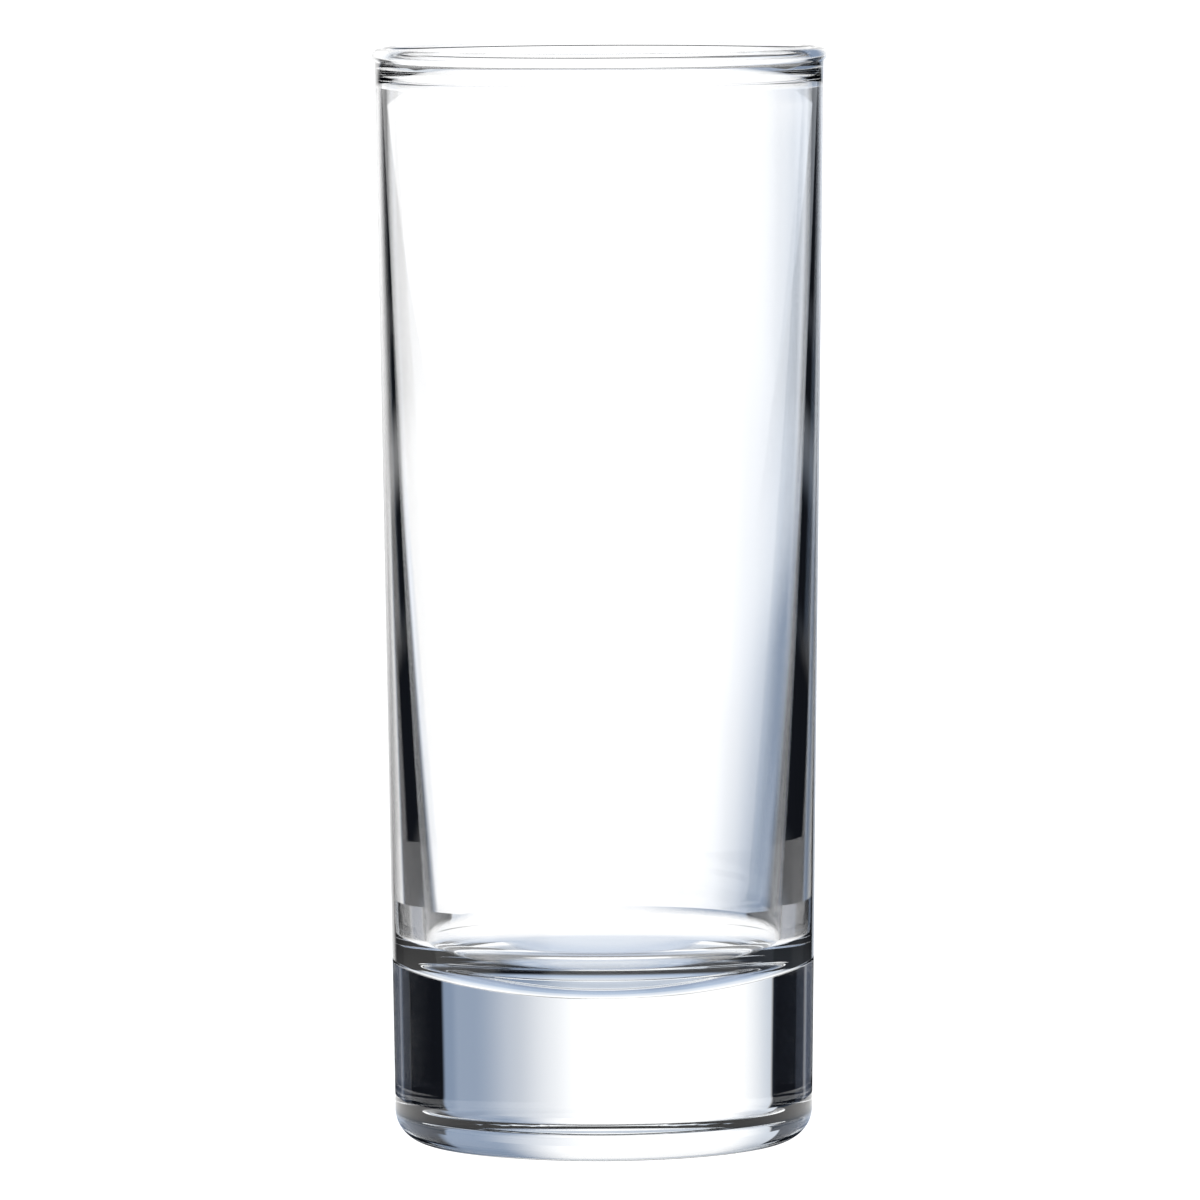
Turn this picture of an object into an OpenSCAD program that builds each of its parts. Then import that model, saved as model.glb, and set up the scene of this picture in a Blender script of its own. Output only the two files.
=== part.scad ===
// Straight-sided highball glass with a thick solid base, in millimetres.
// +Z is up and the origin is the centre of the ring that the glass stands on.
// One revolved outline makes the whole glass, because it is a single piece of soda-lime glass.

/* [Body] */
// Height from the standing ring to the top of the rim
glass_h = 148.8; // [125:0.1:175]
// Outside diameter over the rim bead, the widest part
rim_d = 61.6; // [58:0.1:75]
// Outside diameter of the wall's straight line carried down to the table
foot_d = 56.75; // [50:0.05:60]

/* [Rim] */
// Thickness of the fire-polished bead round the rim
bead_t = 2.2; // [1.9:0.1:3]
// How far the bead stands out past the wall below it
bead_proud = 0.38; // [0:0.01:0.5]
// Wall thickness just below the bead
rim_wall = 1.45; // [1.2:0.05:1.9]

/* [Cavity] */
// Wall thickness where the wall meets the rounded corner of the cavity
foot_wall = 4.45; // [3:0.05:7]
// How late the wall thickens on its way down, where 1 is evenly
wall_curve = 2.05; // [1:0.05:3]
// Radius of the rounded corner between the wall and the floor
corner_r = 5; // [2:0.1:12]
// Radius of the dish that the floor of the cavity forms
floor_dish_r = 60; // [36:0.5:200]

/* [Base] */
// Thickness of solid glass on the axis, from the table to the floor of the cavity
base_t = 20.4; // [10:0.1:35]
// Radius of the rounded heel
heel_r = 4.45; // [2:0.05:6]
// Width of the flat ring that the glass stands on
ring_w = 2.7; // [1.5:0.1:5]
// Depth of the hollow under the base, measured on the axis
punt_depth = 0.5; // [0.3:0.1:2]

/* [Hidden] */
$fn = 180;
// Straight steps that make up the curved inside of the wall
wall_steps = 16;
// How far cuts run past the surfaces that they open
overrun = 1;
glass_tint = [0.80, 0.87, 0.93, 0.45];

bead_r = bead_t / 2;
bead_z = glass_h - bead_r;
neck_r = rim_d / 2 - bead_proud;
foot_r = foot_d / 2;
taper = atan((neck_r - foot_r) / bead_z);

// The heel's arc touches the table and the tapered wall
heel_x = foot_r + heel_r * tan(taper) - heel_r / cos(taper);
heel_touch = [heel_x + heel_r * cos(taper), heel_r - heel_r * sin(taper)];

// First estimate of the centre of the cavity's corner arc
dish_z = base_t + floor_dish_r;
near_x = outer_r(base_t + corner_r) - foot_wall - corner_r;
near_z = corner_height(near_x);

// How far the inside of the wall leans where it runs into the corner arc
wall_lean = atan(
    (neck_r - foot_r) / bead_z + (foot_wall - rim_wall) * wall_curve / (bead_z - near_z)
);

// The corner arc touches the leaning wall and, from inside, the dished floor
corner_x = outer_r(near_z) - foot_wall - corner_r * cos(wall_lean);
corner_z = corner_height(corner_x);
join_z = corner_z - corner_r * sin(wall_lean);
dish_lean = atan(corner_x / (dish_z - corner_z));
dish_reach = floor_dish_r + overrun;

// The hollow under the base is part of a large sphere
punt_r = heel_x - ring_w;
punt_sphere_r = (pow(punt_r, 2) + pow(punt_depth, 2)) / (2 * punt_depth);

// Outside radius of the straight wall at height z
function outer_r(z) = foot_r + (neck_r - foot_r) * z / bead_z;

// Height of the corner arc's centre that touches the dished floor, at radius x
function corner_height(x) = dish_z - sqrt(pow(floor_dish_r - corner_r, 2) - pow(x, 2));

// Height of a point on the wall, where drop is its share of the way from the bead to the corner
function wall_z(drop) = bead_z - (bead_z - join_z) * drop;

// Inside radius at the same point: the wall thickens from the bead down to the corner
function inner_r(drop) =
    outer_r(wall_z(drop)) - rim_wall - (foot_wall - rim_wall) * pow(drop, wall_curve);

// Solid outline from the table to the middle of the bead
module outside() {
    polygon([
        [0, 0],
        [heel_x, 0],
        [heel_x, heel_r],
        heel_touch,
        [neck_r, bead_z],
        [0, bead_z]
    ]);
    translate([heel_x, heel_r]) circle(r = heel_r);
}

// Space for the drink: tapered wall, rounded corner and dished floor
module cavity() {
    wall_line = [
        for (step = [0 : wall_steps])
            let (drop = 1 - step / wall_steps)
            [
                step == 0 ? corner_x + corner_r * cos(wall_lean) : inner_r(drop),
                wall_z(drop)
            ]
    ];
    polygon(concat(
        [[0, corner_z]],
        wall_line,
        [[inner_r(0), bead_z + overrun], [0, bead_z + overrun]]
    ));
    intersection() {
        translate([corner_x, corner_z]) circle(r = corner_r);
        polygon([
            [0, corner_z + overrun],
            [corner_x + corner_r + overrun, corner_z + overrun],
            [corner_x + corner_r + overrun, base_t - overrun],
            [0, base_t - overrun]
        ]);
    }
    intersection() {
        translate([0, dish_z]) circle(r = floor_dish_r);
        polygon([
            [0, corner_z + overrun],
            [corner_x, corner_z + overrun],
            [corner_x, corner_z],
            [dish_reach * sin(dish_lean), dish_z - dish_reach * cos(dish_lean)],
            [dish_reach * sin(dish_lean), base_t - overrun],
            [0, base_t - overrun]
        ]);
    }
}

// Shallow hollow under the base, which leaves the standing ring
module punt() {
    intersection() {
        translate([0, punt_depth - punt_sphere_r]) circle(r = punt_sphere_r);
        translate([0, -overrun]) square([punt_r + overrun, punt_depth + 2 * overrun]);
    }
}

module tumbler() {
    color(glass_tint) rotate_extrude() {
        difference() {
            outside();
            cavity();
            punt();
        }
        translate([rim_d / 2 - bead_r, bead_z]) circle(r = bead_r);
    }
}

tumbler();
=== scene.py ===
"""A clear highball glass on a pale studio floor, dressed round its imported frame.

The glass is one revolved piece. Its outline repeats the named sizes of the CAD part, in
millimetres, and is spun into a fine bmesh with rounded transitions. Clear glass shows only what
stands round it, so the studio is a white light tent with black, grey and blue cards. A low
slatted screen and a contact shade on the table are what the solid base of the glass shows.
"""

import logging
import math
from collections.abc import Iterator
from dataclasses import dataclass, field
from enum import Enum

import bmesh
import bpy
from mathutils import Matrix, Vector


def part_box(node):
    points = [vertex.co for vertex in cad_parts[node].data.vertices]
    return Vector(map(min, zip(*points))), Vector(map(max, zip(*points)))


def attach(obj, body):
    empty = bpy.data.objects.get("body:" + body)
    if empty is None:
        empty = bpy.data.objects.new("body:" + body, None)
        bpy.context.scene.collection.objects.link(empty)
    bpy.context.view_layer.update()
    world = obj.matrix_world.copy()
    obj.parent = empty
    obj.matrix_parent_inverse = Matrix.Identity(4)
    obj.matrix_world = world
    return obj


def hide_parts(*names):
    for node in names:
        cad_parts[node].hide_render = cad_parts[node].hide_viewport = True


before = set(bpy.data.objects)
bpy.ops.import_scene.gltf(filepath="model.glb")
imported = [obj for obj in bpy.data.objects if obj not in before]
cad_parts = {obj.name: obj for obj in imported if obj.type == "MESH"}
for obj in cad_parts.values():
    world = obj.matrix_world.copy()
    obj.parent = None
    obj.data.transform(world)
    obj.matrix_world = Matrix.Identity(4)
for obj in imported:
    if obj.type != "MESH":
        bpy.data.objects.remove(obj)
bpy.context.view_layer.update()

LOG = logging.getLogger("highball_glass")
MM = 0.001
MERGE_DISTANCE = 1e-7

# Angles in degrees that take a card all the way round, up or down
ALL_ROUND = 200.0
ZENITH = 90.0

Point = tuple[float, float]
Colour = tuple[float, float, float, float]


class Slot(Enum):
    """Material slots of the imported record."""

    GLASS = "clear_glass"


class Fade(Enum):
    """How many degrees an edge of a studio card takes to fade."""

    CRISP = 1.5
    SOFT = 6.0
    BLURRED = 11.0
    LONG = 18.0


def place(name: str, shape: bmesh.types.BMesh, material: bpy.types.Material) -> bpy.types.Object:
    """Turn a bmesh into an object of the scene.

    Args:
        name: Name of the object and its mesh.
        shape: Its form, which is freed.
        material: Its finish.

    Returns:
        The new object, at the origin.
    """
    mesh = bpy.data.meshes.new(name)
    shape.to_mesh(mesh)
    shape.free()
    mesh.materials.append(material)
    made = bpy.data.objects.new(name, mesh)
    bpy.context.scene.collection.objects.link(made)
    return made


@dataclass(frozen=True)
class Node:
    """Small helper that adds shader nodes to one tree."""

    tree: bpy.types.NodeTree

    def add(self, kind: str, **settings: object) -> bpy.types.Node:
        """Add a node and set its plain properties.

        Args:
            kind: Blender's type name of the node.
            **settings: Properties to set on the node.

        Returns:
            The new node.
        """
        node = self.tree.nodes.new(kind)
        for name, value in settings.items():
            setattr(node, name, value)
        return node

    def plug(self, socket: bpy.types.NodeSocket, value: object) -> None:
        """Link a socket, or set its value.

        Args:
            socket: The input to feed.
            value: An output socket, a number or a tuple.
        """
        if isinstance(value, bpy.types.NodeSocket):
            self.tree.links.new(value, socket)
        else:
            socket.default_value = value

    def math(self, operation: str, *values: object) -> bpy.types.NodeSocket:
        """Add a Math node.

        Args:
            operation: The node's operation, such as MULTIPLY.
            *values: Numbers or output sockets, in order.

        Returns:
            The node's output.
        """
        node = self.add("ShaderNodeMath", operation=operation)
        for socket, value in zip(node.inputs, values):
            self.plug(socket, value)
        return node.outputs[0]

    def mix(self, factor: object, low: object, high: object) -> bpy.types.NodeSocket:
        """Mix two colours.

        Args:
            factor: Share of the second colour.
            low: Colour at 0.
            high: Colour at 1.

        Returns:
            The mixed colour's output.
        """
        node = self.add("ShaderNodeMix", data_type="RGBA")
        self.plug(node.inputs["Factor"], factor)
        self.plug(node.inputs["A"], low)
        self.plug(node.inputs["B"], high)
        return node.outputs["Result"]

    def rise(self, value: object, at: float, fade: float) -> bpy.types.NodeSocket:
        """Make a mask that climbs smoothly from 0 to 1.

        Args:
            value: The quantity to test.
            at: Where the mask is one half.
            fade: Width over which it climbs.

        Returns:
            The mask's output.
        """
        ramp = self.add("ShaderNodeMapRange", interpolation_type="SMOOTHSTEP")
        self.plug(ramp.inputs["Value"], value)
        ramp.inputs["From Min"].default_value = at - fade / 2
        ramp.inputs["From Max"].default_value = at + fade / 2
        return ramp.outputs["Result"]


@dataclass(frozen=True)
class ClearGlass:
    """Finish of clear fire-polished soda-lime glass."""

    ior: float = 1.52
    roughness: float = 0.0
    tint: Colour = (0.86, 0.93, 0.97, 1.0)
    absorption: float = 2.0
    ripple_scale: float = 55.0
    ripple_height: float = 0.000012

    def material(self) -> bpy.types.Material:
        """Build the glass material.

        Returns:
            A material with a clear, very faintly rippled surface and a faint cool volume.
        """
        made = bpy.data.materials.new("clear_glass")
        made.use_nodes = True
        nodes = Node(made.node_tree)
        shader = made.node_tree.nodes["Principled BSDF"]
        shader.inputs["Base Color"].default_value = (1.0, 1.0, 1.0, 1.0)
        shader.inputs["Transmission Weight"].default_value = 1.0
        shader.inputs["IOR"].default_value = self.ior
        shader.inputs["Roughness"].default_value = self.roughness
        where = nodes.add("ShaderNodeTexCoord")
        ripple = nodes.add("ShaderNodeTexNoise")
        nodes.plug(ripple.inputs["Vector"], where.outputs["Object"])
        nodes.plug(ripple.inputs["Scale"], self.ripple_scale)
        nodes.plug(ripple.inputs["Detail"], 0.0)
        bump = nodes.add("ShaderNodeBump")
        nodes.plug(bump.inputs["Height"], ripple.outputs["Fac"])
        nodes.plug(bump.inputs["Distance"], self.ripple_height)
        nodes.plug(shader.inputs["Normal"], bump.outputs["Normal"])
        volume = nodes.add("ShaderNodeVolumeAbsorption")
        volume.inputs["Color"].default_value = self.tint
        volume.inputs["Density"].default_value = self.absorption
        output = made.node_tree.nodes["Material Output"]
        nodes.plug(output.inputs["Volume"], volume.outputs["Volume"])
        return made


@dataclass(frozen=True)
class PaleFloor:
    """Finish of the white table under the glass."""

    glow: float = 1.05
    albedo: float = 0.25

    def material(self) -> bpy.types.Material:
        """Build the floor material.

        Returns:
            A white surface that also glows a little, as a light table does.
        """
        made = bpy.data.materials.new("pale_floor")
        made.use_nodes = True
        shader = made.node_tree.nodes["Principled BSDF"]
        shader.inputs["Base Color"].default_value = (self.albedo,) * 3 + (1.0,)
        shader.inputs["Roughness"].default_value = 1.0
        shader.inputs["Specular IOR Level"].default_value = 0.0
        shader.inputs["Emission Color"].default_value = (1.0, 1.0, 1.0, 1.0)
        shader.inputs["Emission Strength"].default_value = self.glow
        return made


@dataclass
class Tumbler:
    """The whole glass: wall, rim bead, cavity and solid base in one piece. Sizes in millimetres.

    The bead's arc starts and ends at its shares of a quarter turn from the outward direction.
    The inside of the wall starts at its share of the way down from the bead to the corner.
    """

    node: str = "tumbler"
    foot_d: float = 56.75
    bead_t: float = 2.2
    bead_proud: float = 0.38
    rim_wall: float = 1.45
    foot_wall: float = 4.45
    wall_curve: float = 2.05
    corner_r: float = 5.0
    floor_dish_r: float = 60.0
    base_t: float = 20.4
    heel_r: float = 4.45
    ring_w: float = 2.7
    punt_depth: float = 0.5
    wall_steps: int = 60
    arc_steps: int = 28
    dish_steps: int = 16
    turns: int = 288
    bead_start_share: float = -0.55
    bead_end_share: float = 2.62
    wall_start_share: float = 0.02
    finish: ClearGlass = field(default_factory=ClearGlass)

    def __post_init__(self) -> None:
        """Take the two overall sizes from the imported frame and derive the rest."""
        low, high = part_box(self.node)
        self.glass_h = high.z / MM
        self.rim_d = (high.x - low.x) / MM
        self.bead_r = self.bead_t / 2
        self.bead_z = self.glass_h - self.bead_r
        self.neck_r = self.rim_d / 2 - self.bead_proud
        self.foot_r = self.foot_d / 2
        self.taper = math.atan((self.neck_r - self.foot_r) / self.bead_z)
        self.heel_x = self.foot_r + self.heel_r * (math.tan(self.taper) - 1 / math.cos(self.taper))
        self.dish_z = self.base_t + self.floor_dish_r
        near_x = self.outer_r(self.base_t + self.corner_r) - self.foot_wall - self.corner_r
        near_z = self.corner_height(near_x)
        bend = (self.foot_wall - self.rim_wall) * self.wall_curve / (self.bead_z - near_z)
        self.wall_lean = math.atan(math.tan(self.taper) + bend)
        corner_reach = self.corner_r * math.cos(self.wall_lean)
        self.corner_x = self.outer_r(near_z) - self.foot_wall - corner_reach
        self.corner_z = self.corner_height(self.corner_x)
        self.join_z = self.corner_z - self.corner_r * math.sin(self.wall_lean)
        self.dish_lean = math.asin(self.corner_x / (self.floor_dish_r - self.corner_r))

    def outer_r(self, z: float) -> float:
        """Outside radius of the straight wall at height z."""
        return self.foot_r + (self.neck_r - self.foot_r) * z / self.bead_z

    def corner_height(self, x: float) -> float:
        """Height of the centre of a corner arc that touches the dished floor, at radius x."""
        return self.dish_z - math.sqrt((self.floor_dish_r - self.corner_r) ** 2 - x**2)

    def inner_point(self, drop: float) -> Point:
        """Point on the inside of the wall.

        Args:
            drop: Share of the way from the bead down to the corner.

        Returns:
            Radius and height.
        """
        z = self.bead_z - (self.bead_z - self.join_z) * drop
        wall = self.rim_wall + (self.foot_wall - self.rim_wall) * drop**self.wall_curve
        return self.outer_r(z) - wall, z

    def arc(
        self, centre: Point, radius: float, start: float, end: float, steps: int
    ) -> Iterator[Point]:
        """Yield the points of an arc, ends included.

        Args:
            centre: Radius and height of the arc's centre.
            radius: The arc's own radius.
            start: First angle from the outward direction, in radians.
            end: Last angle.
            steps: Number of stretches.

        Yields:
            Radius and height of each point.
        """
        for step in range(steps + 1):
            angle = start + (end - start) * step / steps
            yield centre[0] + radius * math.cos(angle), centre[1] + radius * math.sin(angle)

    def outline(self) -> list[Point]:
        """Walk the outline from the axis under the base round to the axis in the cavity.

        Returns:
            Radius and height of each point.
        """
        quarter = math.pi / 2
        punt_r = self.heel_x - self.ring_w
        sphere_r = (punt_r**2 + self.punt_depth**2) / (2 * self.punt_depth)
        punt_lean = math.asin(punt_r / sphere_r)
        under = (0.0, self.punt_depth - sphere_r)
        points = list(self.arc(under, sphere_r, quarter, quarter - punt_lean, self.dish_steps))
        heel = (self.heel_x, self.heel_r)
        points += self.arc(heel, self.heel_r, -quarter, -self.taper, self.arc_steps)
        top = self.bead_z - self.bead_r
        for step in range(1, self.wall_steps):
            z = self.heel_r + (top - self.heel_r) * step / self.wall_steps
            points.append((self.outer_r(z), z))
        bead = (self.rim_d / 2 - self.bead_r, self.bead_z)
        start, end = self.bead_start_share * quarter, self.bead_end_share * quarter
        points += self.arc(bead, self.bead_r, start, end, self.arc_steps)
        for step in range(1, self.wall_steps):
            drop = (1 - self.wall_start_share) * step / self.wall_steps
            points.append(self.inner_point(self.wall_start_share + drop))
        corner = (self.corner_x, self.corner_z)
        points += self.arc(
            corner, self.corner_r, -self.wall_lean, self.dish_lean - quarter, self.arc_steps
        )
        dish = (0.0, self.dish_z)
        floor = self.arc(
            dish, self.floor_dish_r, self.dish_lean - quarter, -quarter, self.dish_steps
        )
        points += list(floor)[1:]
        return points

    def build(self) -> bpy.types.Object:
        """Spin the outline into the glass and put it in the frame's place.

        Returns:
            The finished piece.
        """
        shape = bmesh.new()
        verts = [shape.verts.new((r * MM, 0.0, z * MM)) for r, z in self.outline()]
        edges = [shape.edges.new(pair) for pair in zip(verts, verts[1:])]
        bmesh.ops.spin(
            shape,
            geom=verts + edges,
            cent=(0.0, 0.0, 0.0),
            axis=(0.0, 0.0, 1.0),
            angle=math.tau,
            steps=self.turns,
            use_merge=True,
        )
        bmesh.ops.remove_doubles(shape, verts=shape.verts, dist=MERGE_DISTANCE)
        bmesh.ops.recalc_face_normals(shape, faces=shape.faces)
        for face in shape.faces:
            face.smooth = True
        piece = place("tumbler_glass", shape, self.finish.material())
        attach(piece, "root")
        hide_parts(self.node)
        return piece


@dataclass(frozen=True)
class Card:
    """A card as the glass sees it. Angles in degrees, azimuth from straight ahead to the right.

    A side that leans moves by that many degrees for each degree of elevation.
    """

    name: str
    left: float
    right: float
    low: float
    high: float
    colour: Colour
    left_fade: Fade = Fade.CRISP
    right_fade: Fade = Fade.CRISP
    left_lean: float = 0.0
    right_lean: float = 0.0
    height_fade: Fade = Fade.CRISP

    def side(self, nodes: Node, azimuth: object, elevation: object, right: bool) -> object:
        """Make the mask of what lies to the right of one side.

        Args:
            nodes: Where the shader nodes go.
            azimuth: Azimuth in degrees.
            elevation: Elevation in degrees.
            right: True for the right side.

        Returns:
            The mask's output.
        """
        at, fade, lean = (
            (self.right, self.right_fade, self.right_lean)
            if right
            else (self.left, self.left_fade, self.left_lean)
        )
        if lean:
            azimuth = nodes.math("SUBTRACT", azimuth, nodes.math("MULTIPLY", elevation, lean))
        return nodes.rise(azimuth, at, fade.value)

    def lay(self, nodes: Node, azimuth: object, elevation: object, under: object) -> object:
        """Lay the card over a colour.

        Args:
            nodes: Where the shader nodes go.
            azimuth: Azimuth in degrees.
            elevation: Elevation in degrees.
            under: The colour so far.

        Returns:
            The colour with the card on it.
        """
        mask = nodes.math(
            "SUBTRACT",
            self.side(nodes, azimuth, elevation, False),
            self.side(nodes, azimuth, elevation, True),
        )
        above = nodes.rise(elevation, self.low, self.height_fade.value)
        over = nodes.rise(elevation, self.high, self.height_fade.value)
        mask = nodes.math("MULTIPLY", mask, nodes.math("SUBTRACT", above, over))
        return nodes.mix(nodes.math("MAXIMUM", mask, 0.0), under, self.colour)


@dataclass
class Studio:
    """White light tent, cards, floor and what stands low round the glass. Sizes in millimetres.

    Only the floor is measured in metres.
    """

    white: Colour = (1.15, 1.15, 1.15, 1.0)
    black: Colour = (0.006, 0.007, 0.010, 1.0)
    slate: Colour = (0.12, 0.14, 0.19, 1.0)
    steel: Colour = (0.24, 0.30, 0.38, 1.0)
    sky: Colour = (0.42, 0.52, 0.68, 1.0)
    deep_blue: Colour = (0.26, 0.33, 0.45, 1.0)
    dusk: Colour = (0.30, 0.37, 0.50, 1.0)
    mist: Colour = (0.74, 0.80, 0.89, 1.0)
    haze: Colour = (0.55, 0.61, 0.70, 1.0)
    pearl: Colour = (0.66, 0.71, 0.78, 1.0)
    floor_half: float = 15.0
    floor_finish: PaleFloor = field(default_factory=PaleFloor)
    screen_r: float = 87.0
    screen_top: float = 16.0
    screen_foot: float = -3.5
    shade_r: float = 62.0
    shade_drop: float = 0.05
    slat_depth: float = 0.75
    slat_pitch: float = 0.1
    slat_slope: float = 12.0
    turns: int = 144

    def tent_cards(self) -> list[Card]:
        """List the cards below eye level, which the wall of the glass sees.

        Returns:
            The cards, in the order they are laid.
        """
        crisp, soft, blurred = Fade.CRISP, Fade.SOFT, Fade.BLURRED
        return [
            Card("mist", 5.5, 100.0, -13.5, -2.0, self.mist, blurred, soft),
            Card("wash", 9.5, 100.0, -13.5, -7.3, self.deep_blue, blurred, soft),
            Card("wash_foot", 24.0, 100.0, -18.5, -13.5, self.deep_blue, soft, soft),
            Card("far_steel", 54.0, 76.0, -7.0, -2.9, self.steel, soft, blurred),
            Card("low_steel", 66.0, 84.0, -16.0, -9.0, self.steel, soft, soft),
            Card("left_arm", -9.0, -20.5, -7.1, -1.9, self.black, crisp, blurred, 9.2, 0.0),
            Card("left_sky", -21.0, -21.0, -13.4, -8.0, self.sky, crisp, soft, 3.5, 0.0),
            Card("left_flag", -15.0, -21.5, -13.6, -7.1, self.black, crisp, soft, 3.5, 0.0),
            Card("left_foot", -15.0, -12.0, -18.5, -13.6, self.black, crisp, soft, 3.5, 0.0),
            Card("right_arm", 17.0, 8.0, -7.1, -1.9, self.black, soft, crisp, 0.0, -9.0),
            Card("right_flag", 18.5, 14.0, -13.6, -7.1, self.black, soft, crisp, 0.0, -3.5),
            Card("right_foot", 3.0, 14.0, -18.5, -13.6, self.black, soft, crisp, 0.0, -3.5),
            Card("side_left", -112.0, -78.0, -33.0, -20.0, self.black, blurred, soft),
            Card("side_middle", -14.0, 12.0, -24.6, -19.0, self.black, soft, blurred),
            Card("rear_edge", 162.0, 179.0, -20.0, -10.5, self.black, blurred, crisp),
            Card("rear_corner", 80.0, 106.0, -21.0, -12.0, self.black, soft, blurred),
            Card("rear_side", -150.0, -120.0, -9.0, 1.0, self.black, blurred, blurred),
        ]

    def upper_cards(self) -> list[Card]:
        """List the cards above eye level, which the base sees by way of its underside.

        Returns:
            The cards, in the order they are laid.
        """
        crisp, soft, blurred, long = Fade.CRISP, Fade.SOFT, Fade.BLURRED, Fade.LONG
        return [
            Card("high_haze", -ALL_ROUND, ALL_ROUND, 40.0, 64.0, self.haze, height_fade=blurred),
            Card("blue_top", 14.0, 110.0, -1.0, 60.0, self.deep_blue, long, soft),
            Card("pearl", -98.0, -34.0, -1.0, 60.0, self.pearl, soft, long),
            Card("left_flag_top", -80.0, -47.5, 3.0, 32.0, self.black, soft, crisp),
            Card("right_flag_top", 41.0, 85.0, 3.0, 32.0, self.black, soft, soft),
        ]

    def screen_cards(self) -> list[Card]:
        """List the stretches of the low screen, by place round the glass.

        Returns:
            The cards, in the order they are laid.
        """
        crisp, soft, blurred, long = Fade.CRISP, Fade.SOFT, Fade.BLURRED, Fade.LONG
        return [
            Card("blue", 7.5, 110.0, -ZENITH, ZENITH, self.deep_blue, long, soft),
            Card("pearl", -27.0, -22.0, -ZENITH, ZENITH, self.pearl, crisp, blurred),
            Card("far_left", -104.0, -64.0, -ZENITH, ZENITH, self.black, soft, crisp),
            Card("left_slate", -64.0, -50.0, -ZENITH, ZENITH, self.slate, crisp, soft),
            Card("left", -50.0, -27.0, -ZENITH, ZENITH, self.black, soft, crisp),
            Card("right", 24.0, 50.0, -ZENITH, ZENITH, self.black, crisp, soft),
            Card("right_slate", 50.0, 65.0, -ZENITH, ZENITH, self.slate, soft, crisp),
            Card("far_right", 65.0, 88.0, -ZENITH, ZENITH, self.black, crisp, soft),
            Card("rear_left", -162.0, -138.0, -ZENITH, ZENITH, self.black, blurred, blurred),
            Card("rear_right", 138.0, 162.0, -ZENITH, ZENITH, self.black, blurred, blurred),
        ]

    def shade_rings(self) -> list[tuple[float, Colour]]:
        """List the tones of the contact shade from the middle outwards.

        Returns:
            Radius and colour of each tone.
        """
        return [
            (8.0, self.pearl),
            (15.0, self.sky),
            (21.5, self.black),
            (26.5, self.black),
            (30.5, self.dusk),
            (34.0, self.sky),
            (39.0, self.mist),
            (55.0, self.white),
        ]

    def tent(self) -> None:
        """Light the scene from a world that holds the cards."""
        world = bpy.data.worlds.new("light_tent")
        bpy.context.scene.world = world
        world.use_nodes = True
        nodes = Node(world.node_tree)
        where = nodes.add("ShaderNodeTexCoord")
        split = nodes.add("ShaderNodeSeparateXYZ")
        nodes.plug(split.inputs[0], where.outputs["Generated"])
        turn = nodes.math("ARCTAN2", split.outputs["X"], split.outputs["Y"])
        azimuth = nodes.math("DEGREES", turn)
        elevation = nodes.math("DEGREES", nodes.math("ARCSINE", split.outputs["Z"]))
        colour: object = self.white
        for card in self.tent_cards() + self.upper_cards():
            colour = card.lay(nodes, azimuth, elevation, colour)
        seen = nodes.add("ShaderNodeLightPath")
        colour = nodes.mix(seen.outputs["Is Camera Ray"], colour, self.white)
        light = world.node_tree.nodes["Background"]
        nodes.plug(light.inputs["Color"], colour)

    def hide_from_camera(self, prop: bpy.types.Object) -> None:
        """Let only the glass see a studio prop.

        Args:
            prop: What to hide from everything else.
        """
        prop.visible_camera = False
        prop.visible_diffuse = False
        prop.visible_shadow = False
        prop.visible_volume_scatter = False

    def screen(self) -> bpy.types.Object:
        """Stand the low screen that the solid base of the glass looks at.

        Its slats let the base look at the cards behind them. From higher up they close to white.

        Returns:
            The staged screen.
        """
        shape = bmesh.new()
        height = self.screen_top - self.screen_foot
        self.hoop(shape, self.screen_r, height, (self.screen_top + self.screen_foot) / 2)
        slat_r = self.screen_r - self.slat_depth
        drop = self.slat_depth * math.tan(math.radians(self.slat_slope))
        for slat in range(math.floor(height / self.slat_pitch)):
            self.hoop(shape, slat_r, drop, self.screen_top + drop / 2 - slat * self.slat_pitch)
        return self.dress_screen(shape)

    def hoop(self, shape: bmesh.types.BMesh, top_r: float, height: float, middle: float) -> None:
        """Add a hoop that is as wide as the screen at its foot.

        Args:
            shape: The form that it joins.
            top_r: Radius at the top.
            height: Height from foot to top.
            middle: Where its middle is above the table.
        """
        bmesh.ops.create_cone(
            shape,
            cap_ends=False,
            segments=self.turns,
            radius1=self.screen_r * MM,
            radius2=top_r * MM,
            depth=height * MM,
            matrix=Matrix.Translation((0.0, 0.0, middle * MM)),
        )

    def dress_screen(self, shape: bmesh.types.BMesh) -> bpy.types.Object:
        """Lay the cards on the inward side of the low screen and leave its other side white.

        Args:
            shape: The screen's form, which is freed.

        Returns:
            The staged screen.
        """
        finish, nodes, split = self.glow("low_screen")
        turn = nodes.math("ARCTAN2", split.outputs["X"], split.outputs["Y"])
        azimuth = nodes.math("DEGREES", turn)
        colour: object = self.white
        for card in self.screen_cards():
            colour = card.lay(nodes, azimuth, 0.0, colour)
        side = nodes.add("ShaderNodeNewGeometry")
        colour = nodes.mix(side.outputs["Backfacing"], self.white, colour)
        return self.prop("low_screen", shape, finish, nodes, colour)

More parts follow.
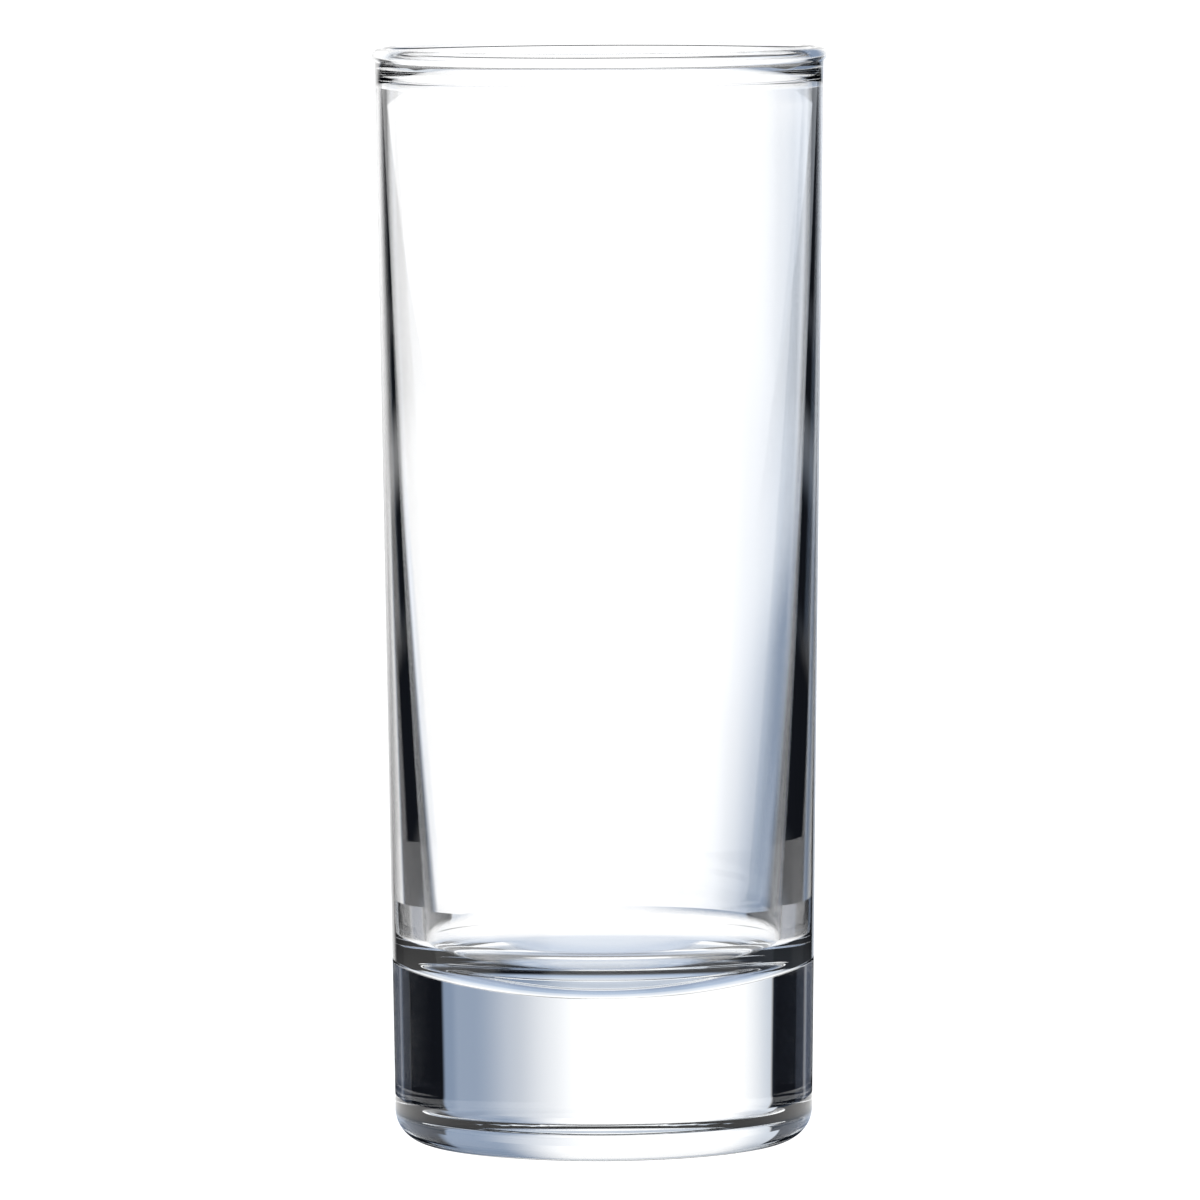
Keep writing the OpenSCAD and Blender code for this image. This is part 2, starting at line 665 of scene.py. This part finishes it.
    def shade(self) -> bpy.types.Object:
        """Lay the contact shade of the table, which shows through the base of the glass.

        Returns:
            The staged disc.
        """
        shape = bmesh.new()
        bmesh.ops.create_circle(
            shape,
            cap_ends=True,
            segments=self.turns,
            radius=self.shade_r * MM,
            matrix=Matrix.Translation((0.0, 0.0, -self.shade_drop * MM)),
        )
        finish, nodes, split = self.glow("contact_shade")
        across = nodes.math("POWER", split.outputs["X"], 2.0)
        along = nodes.math("POWER", split.outputs["Y"], 2.0)
        reach = nodes.math("SQRT", nodes.math("ADD", across, along))
        ramp = nodes.add("ShaderNodeValToRGB")
        ramp.color_ramp.interpolation = "EASE"
        nodes.plug(ramp.inputs["Fac"], nodes.math("DIVIDE", reach, self.shade_r * MM))
        stops = ramp.color_ramp.elements
        for stop, (radius, tone) in zip(stops, self.shade_rings()):
            stop.position, stop.color = radius / self.shade_r, tone
        for radius, tone in self.shade_rings()[len(stops) :]:
            stops.new(radius / self.shade_r).color = tone
        return self.prop("contact_shade", shape, finish, nodes, ramp.outputs["Color"])

    def glow(self, name: str) -> tuple[bpy.types.Material, Node, bpy.types.Node]:
        """Start a glowing finish that knows where on its prop a point lies.

        Args:
            name: The finish's name.

        Returns:
            The material, its node helper and the split Object coordinates.
        """
        finish = bpy.data.materials.new(name)
        finish.use_nodes = True
        nodes = Node(finish.node_tree)
        where = nodes.add("ShaderNodeTexCoord")
        split = nodes.add("ShaderNodeSeparateXYZ")
        nodes.plug(split.inputs[0], where.outputs["Object"])
        return finish, nodes, split

    def prop(
        self,
        name: str,
        shape: bmesh.types.BMesh,
        finish: bpy.types.Material,
        nodes: Node,
        colour: object,
    ) -> bpy.types.Object:
        """Make a glowing prop that only the glass sees.

        Args:
            name: The prop's name.
            shape: Its form, which is freed.
            finish: Its material.
            nodes: The node helper of the material.
            colour: Colour of the glow.

        Returns:
            The staged prop.
        """
        light = nodes.add("ShaderNodeEmission")
        nodes.plug(light.inputs["Color"], colour)
        output = finish.node_tree.nodes["Material Output"]
        nodes.plug(output.inputs["Surface"], light.outputs["Emission"])
        prop = place(name, shape, finish)
        self.hide_from_camera(prop)
        return prop

    def floor(self) -> bpy.types.Object:
        """Lay the pale floor.

        Returns:
            The staged floor.
        """
        shape = bmesh.new()
        bmesh.ops.create_grid(shape, x_segments=1, y_segments=1, size=self.floor_half)
        floor = place("floor", shape, self.floor_finish.material())
        floor.visible_transmission = False
        floor.visible_glossy = False
        return floor


@dataclass(frozen=True)
class PhotoCamera:
    """Camera fitted to the glass's outline in the photograph. Metres and degrees.

    The lens and the sensor are in millimetres, and level is the tilt that looks straight ahead.
    """

    distance: float = 1.5147
    height: float = 0.1923
    pitch: float = 4.477
    yaw: float = 0.0079
    roll: float = -0.252
    lens: float = 335.24
    sensor: float = 36.0
    level: float = 90.0
    far: float = 100.0

    def build(self) -> bpy.types.Object:
        """Place the camera.

        Returns:
            The scene's camera.
        """
        data = bpy.data.cameras.new("photo_camera")
        data.lens = self.lens
        data.sensor_width = self.sensor
        data.clip_end = self.far
        camera = bpy.data.objects.new("photo_camera", data)
        bpy.context.scene.collection.objects.link(camera)
        turn = (
            Matrix.Rotation(math.radians(self.yaw), 4, "Z")
            @ Matrix.Rotation(math.radians(self.level - self.pitch), 4, "X")
            @ Matrix.Rotation(math.radians(self.roll), 4, "Z")
        )
        camera.matrix_world = Matrix.Translation((0.0, -self.distance, self.height)) @ turn
        bpy.context.scene.camera = camera
        return camera


def main() -> None:
    """Build the glass and its studio in order."""
    logging.basicConfig(level=logging.INFO, format="%(name)s: %(message)s")
    scene = bpy.context.scene
    scene.view_settings.view_transform = "Standard"
    camera = PhotoCamera().build()
    LOG.info("camera %.3f m from the foot of the glass", camera.location.length)
    tumbler = Tumbler().build()
    LOG.info("%s has %d faces", tumbler.name, len(tumbler.data.polygons))
    studio = Studio()
    studio.tent()
    LOG.info("%s stands", studio.screen().name)
    LOG.info("%s is laid", studio.shade().name)
    LOG.info("%s is laid", studio.floor().name)


if __name__ == "__main__":
    main()
